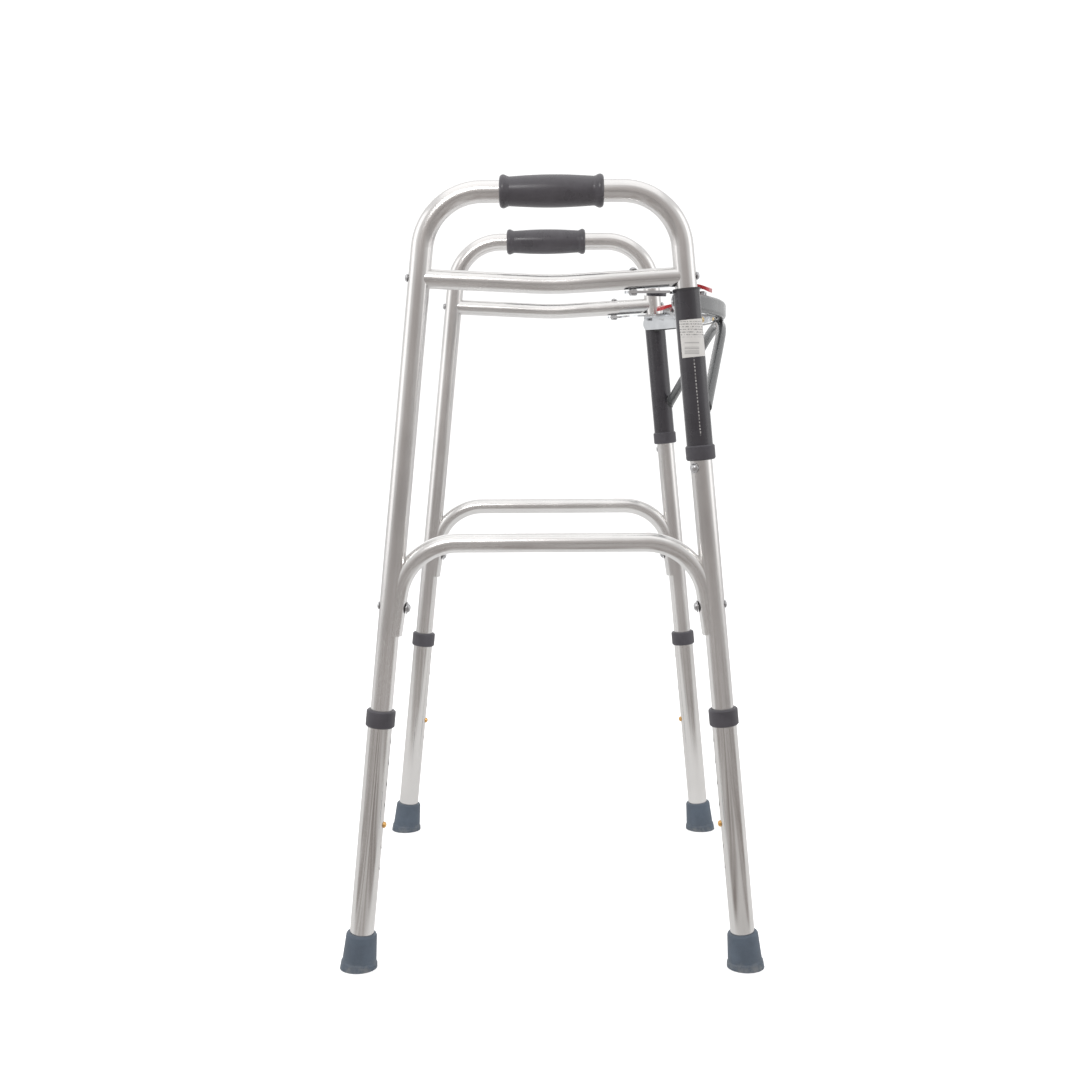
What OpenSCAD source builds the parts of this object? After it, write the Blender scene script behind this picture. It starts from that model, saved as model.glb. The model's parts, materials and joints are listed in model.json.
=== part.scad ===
// Folding walking frame with two hinged side frames, a bowed front cross brace,
// paddle-released latches and four height-adjustable legs. All sizes are in millimetres.
// +Z is up, X runs across the frame and -Y is the front. The origin is on the floor.

/* [Side frames] */
// Distance between the two side frames, centre to centre
frame_spacing = 544; // [500:1:600]
// Half of the fore-aft distance between the feet of one side frame
foot_y = 228.7; // [215:0.1:240]
// Height of the handle tube's axis above the floor
handle_z = 900; // [890:1:930]
// Lean of the front legs from the vertical, in degrees
front_splay = 5.26; // [4.5:0.01:6]
// Lean of the rear legs from the vertical, in degrees
rear_splay = 5.95; // [5:0.01:6.5]
// Outside diameter of the bent frame tube
frame_tube_d = 25.4; // [24:0.1:26]
// Wall of the bent frame tube
frame_wall = 1.3; // [1:0.1:1.6]
// Radius of the two upper bends, at the tube's axis
bend_r = 68; // [60:1:72]
// Height of the lower end of each frame tube, inside its leg extension
frame_end_z = 120; // [110:1:130]

/* [Side braces] */
// Outside diameter of the brace tubes
brace_tube_d = 22.2; // [20:0.1:23]
// Wall of the brace tubes
brace_wall = 1.2; // [1:0.1:1.6]
// Height of the upper brace's axis where it meets the legs
upper_brace_end_z = 804.5; // [803:0.5:810]
// Height of the upper brace's axis at its middle, where it sags
upper_brace_mid_z = 796.5; // [795:0.5:800]
// Radius of the gentle bend at the middle of the upper brace, at its axis
upper_bend_r = 420; // [300:10:500]
// Height of the lower brace's axis
lower_brace_z = 504; // [480:1:530]
// Height of the lower brace's crimped ends
lower_brace_end_z = 398; // [380:1:410]
// Bend radius of the lower brace, at its axis
lower_bend_r = 70; // [60:1:75]
// Distance from the leg's axis to the brace's axis at the crimped end
saddle_offset = 5.4; // [5:0.1:7]
// Angle between the leg and the crimped stretch of the brace, in degrees
saddle_toe = 3.1; // [2:0.1:4]

/* [Hand grips] */
// Length of a hand grip
grip_length = 117; // [110:1:125]
// Diameter of the grip's end flanges
grip_flange_d = 37.5; // [36:0.1:39]
// Diameter of the grip at its neck, beside the flanges
grip_neck_d = 32.8; // [31:0.1:34]
// Diameter of the grip at its middle
grip_mid_d = 36.6; // [35:0.1:37.5]
// Fore-aft position of the right grip's middle
right_grip_y = -4.9; // [-8:0.1:0]
// Fore-aft position of the left grip's middle
left_grip_y = 5.3; // [0:0.1:8]

/* [Leg extensions] */
// Outside diameter of a leg extension
extension_d = 28.6; // [28.5:0.1:29]
// Wall of a leg extension
extension_wall = 1.3; // [1.2:0.05:1.3]
// Height of the top of a collar, with the legs at their middle setting
collar_top_z = 310; // [300:1:320]
// Height of a collar
collar_h = 20; // [16:1:24]
// Outside diameter of a collar
collar_d = 34; // [32.5:0.5:35]
// Height of the snap buttons
button_z = 174; // [165:1:180]
// Distance between adjustment holes
hole_pitch = 25.4; // [25:0.1:26]
// Number of holes above the snap button
holes_above = 4; // [3:1:4]
// Number of holes below the snap button
holes_below = 2; // [1:1:2]
// Diameter of an adjustment hole
hole_d = 8.2; // [8.1:0.1:8.6]
// Diameter of a snap button
button_d = 7.4; // [7:0.1:7.4]
// How far a snap button stands out of the leg extension
button_proud = 3.5; // [3:0.1:4]
// Height of a rubber tip
tip_h = 42; // [40:1:45]
// Diameter of a rubber tip at the floor
tip_floor_d = 43.5; // [42:0.5:46]
// Diameter of a rubber tip at its top
tip_top_d = 35.5; // [34:0.5:37]

/* [Front cross brace] */
// Outside diameter of a hinge sleeve
sleeve_d = 30; // [30:0.5:31]
// Height of the lower end of a hinge sleeve
sleeve_bottom_z = 615; // [605:1:625]
// Height of the upper face of a hinge sleeve's bushing
sleeve_top_z = 791; // [789:0.5:791.5]
// Height of the collar under a hinge sleeve
sleeve_collar_h = 17; // [14:1:20]
// Height of the crossbar's axis
crossbar_z = 777; // [775:0.5:778]
// Height of the crossbar
crossbar_h = 21; // [20:0.5:22]
// Fore-aft depth of the crossbar
crossbar_depth = 12; // [11:0.5:13]
// Radius of the crossbar's bow, at its axis
bow_r = 576; // [570:1:585]
// Fore-aft position of the crossbar's axis at its middle
bow_apex_y = -222.5; // [-226:0.5:-220]
// Thickness of the backing strap
strap_t = 2.5; // [2:0.1:3]
// Height of the backing strap
strap_h = 19; // [17:0.5:20]
// Outside diameter of the arch brace tube
arch_d = 12.7; // [12:0.1:13]
// Bend radius of the arch brace at its middle
arch_bend_r = 225; // [200:5:250]
// Slope of the arch brace's arms, in degrees
arch_slope = 27.9; // [26:0.1:28]
// Forward tilt of the arch brace's plane, in degrees
arch_tilt = 22.3; // [21:0.1:24]

/* [Latches] */
// Fore-aft position of the latch pins
latch_pin_y = -96.2; // [-98:0.1:-95]
// Thickness of a latch plate
plate_t = 3; // [2.5:0.1:3]
// Height of the underside of a latch plate
plate_z = 785.5; // [785:0.1:785.5]
// Diameter of a latch pin's foot
foot_d = 9; // [8.5:0.1:9]
// Thickness of a paddle
paddle_t = 4; // [3.5:0.1:4.5]
// Length of a paddle along the crossbar
paddle_w = 34; // [30:1:36]

/* [Hidden] */
$fn = 64;

// Which side of the walking frame, and which end of a side frame
RIGHT = -1;
LEFT = 1;
FRONT = -1;
REAR = 1;

// Running clearance between the frame tube and the bushings it turns in
running_gap = 0.08;
// Gap between a part and another that moves past it
moving_gap = 0.3;

// A band inside the wall that joins two stretches of a bent tube: the gap between the
// stretches, the band's width, and its depth below the tube's two surfaces
seam_gap = 0.05;
seam_w = 0.8;
seam_depth = 0.25;

half_spacing = frame_spacing / 2;
frame_r = frame_tube_d / 2;
frame_bore_r = frame_r - frame_wall;
brace_r = brace_tube_d / 2;
brace_bore_r = brace_r - brace_wall;
extension_r = extension_d / 2;
extension_bore_r = extension_r - extension_wall;
collar_r = collar_d / 2;
sleeve_r = sleeve_d / 2;

// Lean of a leg, its axis at a height, and the distance up that axis to a height
function splay(end) = end == REAR ? rear_splay : front_splay;
function leg_y(end, z) = end * (foot_y - z * tan(splay(end)));
function up_leg(end, z) = z / cos(splay(end));

// The upper bends of the frame tube
bend_z = handle_z - bend_r;
function bend_start_z(end) = bend_z + bend_r * sin(splay(end));
function bend_y(end) = leg_y(end, bend_start_z(end)) - end * bend_r * cos(splay(end));

// The upper brace runs from its sagging middle to the axis of each leg
upper_mid_y = (leg_y(FRONT, upper_brace_end_z) + leg_y(REAR, upper_brace_end_z)) / 2;
upper_half_y = leg_y(REAR, upper_brace_end_z) - upper_mid_y;
upper_rise = upper_brace_end_z - upper_brace_mid_z;
upper_half_length = norm([upper_half_y, upper_rise]);
upper_slope = atan2(upper_rise, upper_half_y);
upper_bend_half = upper_bend_r * tan(upper_slope);

// The lower brace bends down beside each leg and closes on it towards its crimped end
function lower_slant(end) = splay(end) + saddle_toe;
function lower_bend_end_z(end) =
    lower_brace_z - lower_bend_r + lower_bend_r * sin(lower_slant(end));
function lower_bend_end_y(end) =
    leg_y(end, lower_bend_end_z(end))
    - end * (saddle_offset + (lower_bend_end_z(end) - lower_brace_end_z) * tan(saddle_toe));
function lower_bend_y(end) =
    lower_bend_end_y(end) - end * lower_bend_r * cos(lower_slant(end));

// The rounded bulbs at the ends of a grip
grip_end_r = 14.6;
grip_bulb_peak = 4.4;
grip_bulb_w = 11.5;

// Bolts
bolt_r = 3;
bolt_hole_r = 3.05;
bolt_head_r = 5;
bolt_head_h = 3.2;
small_head_r = 4.5;
small_head_h = 2.5;
washer_r = 7;
washer_t = 1.2;
head_seat_gap = 0.3;
plug_length = 26;
lower_bolt_z = 431;
lower_head_y = saddle_offset + (lower_bolt_z - lower_brace_end_z) * tan(saddle_toe)
    + brace_r + 2 * head_seat_gap;
stop_bolt_z = 590;
stop_bolt_turn = 45;

// Leg extensions
extension_bottom = 8;
extension_top = up_leg(REAR, collar_top_z) - 4;
collar_top = up_leg(REAR, collar_top_z);
button_t = up_leg(REAR, button_z);
button_tip_y = extension_r + button_proud;
button_flange_r = 4.4;
button_flange_t = 1.3;
button_flange_y = sqrt(pow(frame_bore_r, 2) - pow(button_flange_r, 2)) - 0.1;
spring_strip_t = 0.8;
spring_strip_w = 8;

// Bushings inside the hinge sleeves
bushing_wall_r = sleeve_r - 1.4;
bushing_flange_t = 2.4;
bushing_depth = 15;
bushing_bore_r = frame_r + running_gap;

// Crossbar and strap
crossbar_corner_r = 5;
rivet_r = 2.5;
rivet_hole_r = 2.55;
bow_y = bow_apex_y + bow_r;
crossbar_inner_r = bow_r - crossbar_depth / 2;
strap_gap = 0.05;
strap_r = crossbar_inner_r - strap_gap - strap_t / 2;
strap_end_x = 225;
strap_end_angle = asin(strap_end_x / strap_r);
strap_end_y = bow_y - strap_r * cos(strap_end_angle);
hinge_y = leg_y(FRONT, crossbar_z);
to_sleeve = [half_spacing - strap_end_x, hinge_y - strap_end_y];
tab_angle = atan2(to_sleeve[1], to_sleeve[0]) + asin((sleeve_r + strap_t / 2) / norm(to_sleeve));
tab_length = sqrt(pow(norm(to_sleeve), 2) - pow(sleeve_r, 2)) + 5;
rivet_x = 75;
rivet_z = 773;

// Arch brace
arch_r = arch_d / 2;
arch_apex_z = crossbar_z - crossbar_h / 2 - arch_r + 2.4;
arch_arm_length = 186;

// Latches, laid out in plan from the hinge axis: x inwards and y to the rear
latch_y = leg_y(FRONT, plate_z);
foot_radius = latch_pin_y - latch_y;
foot_bottom_z = 783.5;
foot_hole_r = foot_d / 2 + 0.6;
finger_wall = 2;
finger_edge = foot_hole_r + finger_wall;
plate_edge = -8;
sector_r = foot_radius - foot_d / 2 - 2.4;
arm_start = [60.5, -11];
arm_turn = -18.8;
web_t = 3;
// Corners of the latch plate's plan: where the sector is cut off, and the strip out to the arm
sector_corners = [
    [plate_edge, 19], [3.5, 19], [48, -10.6], [60, -10.6], [60, 60], [plate_edge, 60]
];
arm_strip = [
    [40, -5.3], [48, -10.6], [59, -15], [97.3, -28.1], [100, -20.4], [61.7, -7.3], [52, -4]
];
finger_root = 15;
finger_past_foot = 2.5;
pivot_s = 48;
pivot_z = 791;
pivot_pin_r = 2;
ear_r = 3.6;
ear_t = 2.2;
spring_room = 4.6;
bracket_length = 14;
bracket_floor_z = 784.9;
paddle_s = 22;
paddle_bow_r = 36;
paddle_top_z = 801;
paddle_corner_r = 10;
paddle_across = 36;
paddle_bow_z = paddle_top_z - paddle_bow_r;
web_top_z = paddle_bow_z + sqrt(pow(paddle_bow_r - paddle_t, 2) - pow(web_t / 2, 2)) - 0.003;

module on_side(side) {
    translate([side * half_spacing, 0, 0])
        children();
}

// Local z runs up the leg's axis from the floor, and local -y faces the other leg
module on_leg(end) {
    translate([0, end * foot_y, 0])
        rotate([end * splay(end), 0, 0])
            rotate([0, 0, end == REAR ? 0 : 180])
                children();
}

// Points children's z from the upper brace's middle to one end
module on_upper_brace(end) {
    translate([0, upper_mid_y, upper_brace_mid_z])
        rotate([-end * (90 - upper_slope), 0, 0])
            children();
}

// Turns a z axis to the leg's local -y, which faces the other leg
module facing_inwards() {
    rotate([90, 0, 0])
        children();
}

// A bend in the plane of a side frame, from a leg's direction up to the horizontal
module side_bend(end, y, z, bend, slant, r, bore_r = 0) {
    translate([0, y, z])
        mirror([0, end == REAR ? 0 : 1, 0])
            rotate([90, 0, 90])
                rotate([0, 0, slant])
                    rotate_extrude(angle = 90 - slant)
                        translate([bend, 0])
                            difference() {
                                circle(r = r);
                                circle(r = bore_r);
                            }
}

module dome(r, h) {
    ball_r = (r * r + h * h) / (2 * h);
    intersection() {
        translate([0, 0, h - ball_r])
            sphere(r = ball_r);
        cylinder(r = r, h = h);
    }
}

module ring(outer_r, inner_r, h) {
    difference() {
        cylinder(r = outer_r, h = h);
        translate([0, 0, -1])
            cylinder(r = inner_r, h = h + 2);
    }
}

module pipe(outer_r, bore_r, h) {
    linear_extrude(height = h)
        difference() {
            circle(r = outer_r);
            circle(r = bore_r);
        }
}

// A band inside the wall that joins two stretches of one bent tube end to end
module seam(outer_r, bore_r) {
    translate([0, 0, -seam_w / 2])
        pipe(outer_r - seam_depth, bore_r + seam_depth, seam_w);
}

module rounded_bar(w, h, r) {
    square([w - 2 * r, h], center = true);
    square([w, h - 2 * r], center = true);
    for (x = [-1, 1], y = [-1, 1])
        translate([x * (w / 2 - r), y * (h / 2 - r)])
            circle(r = r);
}

// ---- Side frame ----

module frame_pieces() {
    translate([0, bend_y(FRONT) + seam_gap, handle_z])
        rotate([-90, 0, 0])
            pipe(frame_r, frame_bore_r, bend_y(REAR) - bend_y(FRONT) - 2 * seam_gap);
    for (end = [FRONT, REAR]) {
        side_bend(end, bend_y(end), bend_z, bend_r, splay(end), frame_r, frame_bore_r);
        translate([0, bend_y(end), handle_z])
            rotate([90, 0, 0])
                seam(frame_r, frame_bore_r);
        on_leg(end) {
            translate([0, 0, up_leg(end, frame_end_z)])
                pipe(frame_r, frame_bore_r, up_leg(end, bend_start_z(end) - frame_end_z) - seam_gap);
            translate([0, 0, up_leg(end, bend_start_z(end))])
                seam(frame_r, frame_bore_r);
        }
    }
}

module frame_tube(side) {
    color("#b9b6b3")
        difference() {
            frame_pieces();
            for (end = [FRONT, REAR]) {
                on_leg(end) {
                    translate([0, 0, button_t])
                        facing_inwards()
                            cylinder(r = button_d / 2 + moving_gap, h = 2 * frame_r);
                    translate([0, 0, up_leg(end, lower_bolt_z)])
                        facing_inwards()
                            cylinder(r = bolt_hole_r, h = 4 * frame_r, center = true);
                }
                on_upper_brace(end)
                    translate([0, 0, upper_half_length])
                        cylinder(r = bolt_hole_r, h = 4 * frame_r, center = true);
            }
            on_leg(FRONT)
                translate([0, 0, up_leg(FRONT, stop_bolt_z)])
                    rotate([0, 0, -side * stop_bolt_turn])
                        facing_inwards()
                            cylinder(r = bolt_hole_r, h = 2 * frame_r);
        }
}

// Outline of a grip: a rounded bulb at each end, a neck beside it and a swelling body
function grip_radius(s) =
    let (
        flange_r = grip_flange_d / 2,
        neck_r = grip_neck_d / 2,
        from_end = grip_length / 2 - abs(s),
        past_peak = (from_end - grip_bulb_peak) / (grip_bulb_w - grip_bulb_peak)
    )
    from_end < grip_bulb_peak
    ? grip_end_r + (flange_r - grip_end_r) * sqrt(1 - pow(1 - from_end / grip_bulb_peak, 2))
    : from_end < grip_bulb_w
    ? neck_r + (flange_r - neck_r) * (0.5 + 0.5 * cos(180 * past_peak))
    : neck_r + (grip_mid_d / 2 - neck_r) * cos(90 * abs(s) / (grip_length / 2 - grip_bulb_w));

module hand_grip(y) {
    half = grip_length / 2;
    bulb = [0, 0.25, 0.8, 1.8, 3, 4.4, 5.6, 6.8, 8, 9.2, 10.4];
    body_end = half - grip_bulb_w;
    profile = concat(
        [[frame_r, -half]],
        [for (d = bulb) [grip_radius(half - d), d - half]],
        [for (k = [-8:8]) [grip_radius(k / 8 * body_end), k / 8 * body_end]],
        [for (k = [len(bulb) - 1:-1:0]) [grip_radius(half - bulb[k]), half - bulb[k]]],
        [[frame_r, half]]
    );
    color("#57545a")
        translate([0, y, handle_z])
            rotate([-90, 0, 0])
                rotate_extrude()
                    polygon(profile);
}

module legs_solid() {
    for (end = [FRONT, REAR])
        on_leg(end)
            cylinder(r = frame_r, h = up_leg(end, bend_start_z(end)));
}

// The gentle bend at the middle of the upper brace
module upper_brace_bend() {
    bend_centre_z = upper_brace_mid_z + upper_bend_r / cos(upper_slope);
    translate([0, upper_mid_y, bend_centre_z])
        rotate([90, 0, 90])
            rotate([0, 0, -90 - upper_slope])
                rotate_extrude(angle = 2 * upper_slope, $fn = 360)
                    translate([upper_bend_r, 0])
                        difference() {
                            circle(r = brace_r);
                            circle(r = brace_bore_r);
                        }
}

module upper_brace() {
    color("#c3c0bd")
        difference() {
            union() {
                for (end = [FRONT, REAR])
                    on_upper_brace(end) {
                        translate([0, 0, upper_bend_half + seam_gap])
                            pipe(brace_r, brace_bore_r, upper_half_length - upper_bend_half - seam_gap);
                        translate([0, 0, upper_bend_half])
                            seam(brace_r, brace_bore_r);
                    }
                upper_brace_bend();
            }
            legs_solid();
            translate([0, latch_pin_y, upper_brace_mid_z - 2 * brace_r])
                cylinder(r = bolt_hole_r, h = 5 * brace_r);
        }
}

module upper_brace_plugs() {
    color("#3c3a3d")
        difference() {
            for (end = [FRONT, REAR])
                on_upper_brace(end)
                    translate([0, 0, upper_half_length - frame_r - plug_length])
                        ring(brace_bore_r - 0.05, bolt_hole_r, frame_r + plug_length);
            legs_solid();
        }
}

module upper_brace_bolts() {
    length = 2 * frame_r + plug_length;
    color("#9a9b9e")
        for (end = [FRONT, REAR])
            on_upper_brace(end)
                translate([0, 0, upper_half_length + frame_r + head_seat_gap]) {
                    dome(small_head_r, bolt_head_h);
                    translate([0, 0, -length])
                        cylinder(r = bolt_r, h = length + 0.5);
                }
}

// One end of the lower brace: the bend, and the stretch crimped round the leg
module lower_brace_end(end) {
    length = (lower_bend_end_z(end) - lower_brace_end_z) / cos(lower_slant(end));
    difference() {
        union() {
            side_bend(end, lower_bend_y(end), lower_brace_z - lower_bend_r, lower_bend_r,
                lower_slant(end), brace_r, brace_bore_r);
            translate([0, lower_bend_end_y(end), lower_bend_end_z(end)])
                rotate([end * lower_slant(end), 0, 0])
                    rotate([0, 0, -90 * end]) {
                        translate([0, 0, -length])
                            cylinder(r = brace_r, h = length - seam_gap);
                        seam(brace_r, brace_bore_r);
                    }
        }
        on_leg(end)
            translate([0, 0, up_leg(end, lower_brace_end_z) - 2 * frame_r])
                rotate([0, 0, 90])
                    cylinder(r = frame_r, h = up_leg(end, lower_brace_z - lower_brace_end_z) + 4 * frame_r);
        on_leg(end)
            translate([0, 0, up_leg(end, lower_bolt_z)])
                facing_inwards()
                    cylinder(r = bolt_hole_r, h = 3 * brace_r);
    }
}

module lower_brace() {
    color("#c3c0bd") {
        translate([0, lower_bend_y(FRONT) + seam_gap, lower_brace_z])
            rotate([-90, 0, 0])
                pipe(brace_r, brace_bore_r,
                    lower_bend_y(REAR) - lower_bend_y(FRONT) - 2 * seam_gap);
        for (end = [FRONT, REAR]) {
            lower_brace_end(end);
            translate([0, lower_bend_y(end), lower_brace_z])
                rotate([90, 0, 0])
                    seam(brace_r, brace_bore_r);
        }
    }
}

module lower_brace_bolts() {
    outer_y = frame_r + 0.1;
    color("#9a9b9e")
        for (end = [FRONT, REAR])
            on_leg(end)
                translate([0, 0, up_leg(end, lower_bolt_z)])
                    facing_inwards() {
                        translate([0, 0, -outer_y])
                            cylinder(r = bolt_r, h = outer_y + lower_head_y + 0.5);
                        translate([0, 0, lower_head_y])
                            cylinder(r = washer_r, h = washer_t);
                        translate([0, 0, lower_head_y + washer_t])
                            dome(bolt_head_r, bolt_head_h);
                        mirror([0, 0, 1])
                            translate([0, 0, outer_y])
                                dome(small_head_r, small_head_h);
                    }
}

// A bolt whose lock nut is the foot that the latch plate holds
module latch_pin() {
    axis_z = upper_brace_mid_z + (upper_mid_y - latch_pin_y) * tan(upper_slope);
    foot_top_z = axis_z - brace_r / cos(upper_slope) - head_seat_gap;
    head_z = axis_z + brace_r / cos(upper_slope) + head_seat_gap;
    chamfer = 0.8;
    color("#8f9093")
        translate([0, latch_pin_y, 0]) {
            translate([0, 0, foot_top_z - 0.5])
                cylinder(r = bolt_r, h = head_z - foot_top_z + 1);
            translate([0, 0, head_z])
                dome(small_head_r, small_head_h);
            translate([0, 0, foot_bottom_z])
                rotate_extrude()
                    polygon([
                        [0, 0], [foot_d / 2 - chamfer, 0], [foot_d / 2, chamfer],
                        [foot_d / 2, foot_top_z - foot_bottom_z], [0, foot_top_z - foot_bottom_z]
                    ]);
        }
}

// The screw that keeps the hinge sleeve from sliding down the front leg
module sleeve_stop_bolt(side) {
    seat = frame_r + 0.1;
    washer = 1.2;
    color("#8f9093")
        on_leg(FRONT)
            translate([0, 0, up_leg(FRONT, stop_bolt_z)])
                rotate([0, 0, -side * stop_bolt_turn])
                    facing_inwards() {
                        translate([0, 0, frame_bore_r - 6])
                            cylinder(r = bolt_r, h = seat + 7 - frame_bore_r);
                        translate([0, 0, seat])
                            cylinder(r = bolt_head_r + 0.8, h = washer);
                        translate([0, 0, seat + washer])
                            dome(bolt_head_r, bolt_head_h);
                    }
}

// ---- Height-adjustable legs ----

module leg_extension(end) {
    color("#a9a5a2")
        on_leg(end)
            difference() {
                translate([0, 0, extension_bottom])
                    ring(extension_r, extension_bore_r, extension_top - extension_bottom);
                for (k = [-holes_below:holes_above])
                    translate([0, 0, button_t + k * hole_pitch])
                        facing_inwards()
                            cylinder(r = hole_d / 2, h = 2 * extension_r);
            }
}

module leg_collar(end) {
    lip = collar_top - extension_top;
    edge = 1.5;
    color("#504e55")
        on_leg(end)
            translate([0, 0, collar_top - collar_h])
                rotate_extrude()
                    polygon([
                        [extension_r, 0], [collar_r - edge, 0], [collar_r, edge],
                        [collar_r, collar_h - edge], [collar_r - edge, collar_h],
                        [extension_bore_r, collar_h], [extension_bore_r, collar_h - lip],
                        [extension_r, collar_h - lip]
                    ]);
}

module rubber_tip(end) {
    washer_bottom = extension_bottom - 1.5;
    top = up_leg(end, tip_h);
    below_floor = 5;
    rim = 2;
    floor_r = tip_floor_d / 2 + 0.6;
    color("#5c6876")
        difference() {
            on_leg(end)
                rotate_extrude()
                    polygon([
                        [0, -below_floor], [floor_r, -below_floor], [tip_floor_d / 2 - 0.4, 7],
                        [tip_floor_d / 2 - 1.6, 9], [tip_top_d / 2 + 0.4, top - rim],
                        [tip_top_d / 2 - 0.6, top], [extension_r, top],
                        [extension_r, washer_bottom], [0, washer_bottom]
                    ]);
            translate([0, end * foot_y, -2 * below_floor])
                cube([4 * floor_r, 4 * floor_r, 4 * below_floor], center = true);
            for (r = [8, 13.5])
                translate([0, end * foot_y, -1])
                    ring(r + 1, r - 1, 2.2);
        }
}

module tip_washer(end) {
    color("#a7a8aa")
        on_leg(end)
            translate([0, 0, extension_bottom - 1.5])
                cylinder(r = extension_r - 0.2, h = 1.5);
}

module snap_button(end) {
    shoulder = 2;
    color("#b87a3c")
        on_leg(end)
            translate([0, 0, button_t])
                facing_inwards() {
                    translate([0, 0, button_flange_y - button_flange_t])
                        cylinder(r = button_flange_r, h = button_flange_t);
                    translate([0, 0, button_flange_y - 0.5])
                        cylinder(r = button_d / 2, h = button_tip_y - shoulder - button_flange_y + 0.5);
                    translate([0, 0, button_tip_y - shoulder])
                        dome(button_d / 2, shoulder);
                }
}

// A bent strip inside the frame tube that pushes the button out
module button_spring(end) {
    inner_y = button_flange_y - button_flange_t;
    outer_y = sqrt(pow(frame_bore_r, 2) - pow(spring_strip_w / 2, 2)) - 0.2;
    loop_r = (inner_y + outer_y) / 2;
    loop_y = (outer_y - inner_y) / 2;
    arm = 36;
    color("#8d8f93")
        on_leg(end)
            translate([-spring_strip_w / 2, loop_y, button_t - arm]) {
                rotate([90, 0, 90])
                    rotate([0, 0, 180])
                        rotate_extrude(angle = 180)
                            translate([loop_r - spring_strip_t, 0])
                                square([spring_strip_t, spring_strip_w]);
                translate([0, -loop_r, 0])
                    cube([spring_strip_w, spring_strip_t, arm + 5]);
                translate([0, loop_r - spring_strip_t, 0])
                    cube([spring_strip_w, spring_strip_t, arm + 5]);
            }
}

// ---- Front cross brace ----

module sleeve_solid(r) {
    on_leg(FRONT)
        translate([0, 0, up_leg(FRONT, sleeve_bottom_z)])
            cylinder(r = r, h = up_leg(FRONT, sleeve_top_z - sleeve_bottom_z));
}

module sleeve() {
    bottom = up_leg(FRONT, sleeve_bottom_z);
    length = up_leg(FRONT, sleeve_top_z) - bushing_flange_t - bottom;
    color("#48464b")
        on_leg(FRONT)
            translate([0, 0, bottom])
                ring(sleeve_r, bushing_wall_r, length);
}

module sleeve_bushings() {
    top = up_leg(FRONT, sleeve_top_z);
    color("#3a383c")
        for (side = [RIGHT, LEFT])
            on_side(side)
                on_leg(FRONT)
                    difference() {
                        union() {
                            translate([0, 0, top - bushing_depth])
                                cylinder(r = bushing_wall_r, h = bushing_depth);
                            translate([0, 0, top - bushing_flange_t])
                                cylinder(r = sleeve_r + 0.4, h = bushing_flange_t);
                        }
                        translate([0, 0, top - 2 * bushing_depth])
                            cylinder(r = bushing_bore_r, h = 3 * bushing_depth);
                    }
}

module sleeve_collar() {
    top = up_leg(FRONT, sleeve_bottom_z);
    edge = 1.5;
    r = sleeve_r + 1.8;
    h = sleeve_collar_h;
    color("#504e55")
        on_leg(FRONT)
            translate([0, 0, top - h])
                rotate_extrude()
                    polygon([
                        [bushing_bore_r, 0], [r - edge, 0], [r, edge], [r, h - edge], [r - edge, h],
                        [bushing_wall_r, h], [bushing_wall_r, h + bushing_depth],
                        [bushing_bore_r, h + bushing_depth]
                    ]);
}

module sleeve_label() {
    label_h = 42;
    middle_z = 735;
    gap = 0.02;
    paper = 0.2;
    wrap = 124;
    color("#dcdad8")
        on_side(RIGHT)
            on_leg(FRONT)
                translate([0, 0, up_leg(FRONT, middle_z) - label_h / 2])
                    rotate([0, 0, 10 - wrap / 2])
                        rotate_extrude(angle = wrap)
                            translate([sleeve_r + gap, 0])
                                square([paper, label_h]);
}

// A stretch of the bow between two equal angles either side of the middle
module bow(half_angle) {
    translate([0, bow_y, crossbar_z])
        rotate([0, 0, -90 - half_angle])
            rotate_extrude(angle = 2 * half_angle, $fn = 720)
                children();
}

module crossbar() {
    wall = 1.5;
    corner = crossbar_corner_r;
    half_angle = asin((half_spacing - 6) / bow_r);
    color("#7c7e80")
        difference() {
            bow(half_angle)
                translate([bow_r, 0])
                    rounded_bar(crossbar_depth, crossbar_h, corner);
            bow(half_angle + 1)
                translate([bow_r, 0])
                    rounded_bar(crossbar_depth - 2 * wall, crossbar_h - 2 * wall, corner - wall);
            for (side = [RIGHT, LEFT])
                on_side(side)
                    sleeve_solid(sleeve_r);
            at_rivets()
                cylinder(r = rivet_hole_r, h = 8, center = true);
        }
}

module at_rivets() {
    for (side = [RIGHT, LEFT])
        translate([0, bow_y, rivet_z])
            rotate([0, 0, side * asin(rivet_x / crossbar_inner_r)])
                translate([0, -crossbar_inner_r, 0])
                    rotate([-90, 0, 0])
                        children();
}

module strap_tab() {
    translate([strap_end_x, strap_end_y, crossbar_z])
        rotate([90, 0, tab_angle])
            linear_extrude(height = strap_t, center = true) {
                translate([-1, -strap_h / 2])
                    square([tab_length - strap_h / 2 + 1, strap_h]);
                translate([tab_length - strap_h / 2, 0])
                    circle(r = strap_h / 2);
            }
}

module crossbar_strap() {
    color("#e4e6e8")
        difference() {
            union() {
                bow(strap_end_angle)
                    translate([strap_r - strap_t / 2, -strap_h / 2])
                        square([strap_t, strap_h]);
                strap_tab();
                mirror([1, 0, 0])
                    strap_tab();
            }
            for (side = [RIGHT, LEFT])
                on_side(side)
                    sleeve_solid(sleeve_r);
            bow(strap_end_angle + 3)
                translate([crossbar_inner_r, -crossbar_h / 2])
                    square([crossbar_depth, crossbar_h]);
            at_rivets()
                cylinder(r = rivet_hole_r, h = 8, center = true);
        }
}

module crossbar_rivets() {
    color("#c9a45a")
        at_rivets() {
            translate([0, 0, -3])
                cylinder(r = rivet_r, h = 3 + strap_t);
            translate([0, 0, strap_t + 0.1])
                dome(small_head_r, small_head_h);
            translate([0, 0, -5])
                cylinder(r = rivet_r + 0.5, h = 3);
        }
}

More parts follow.
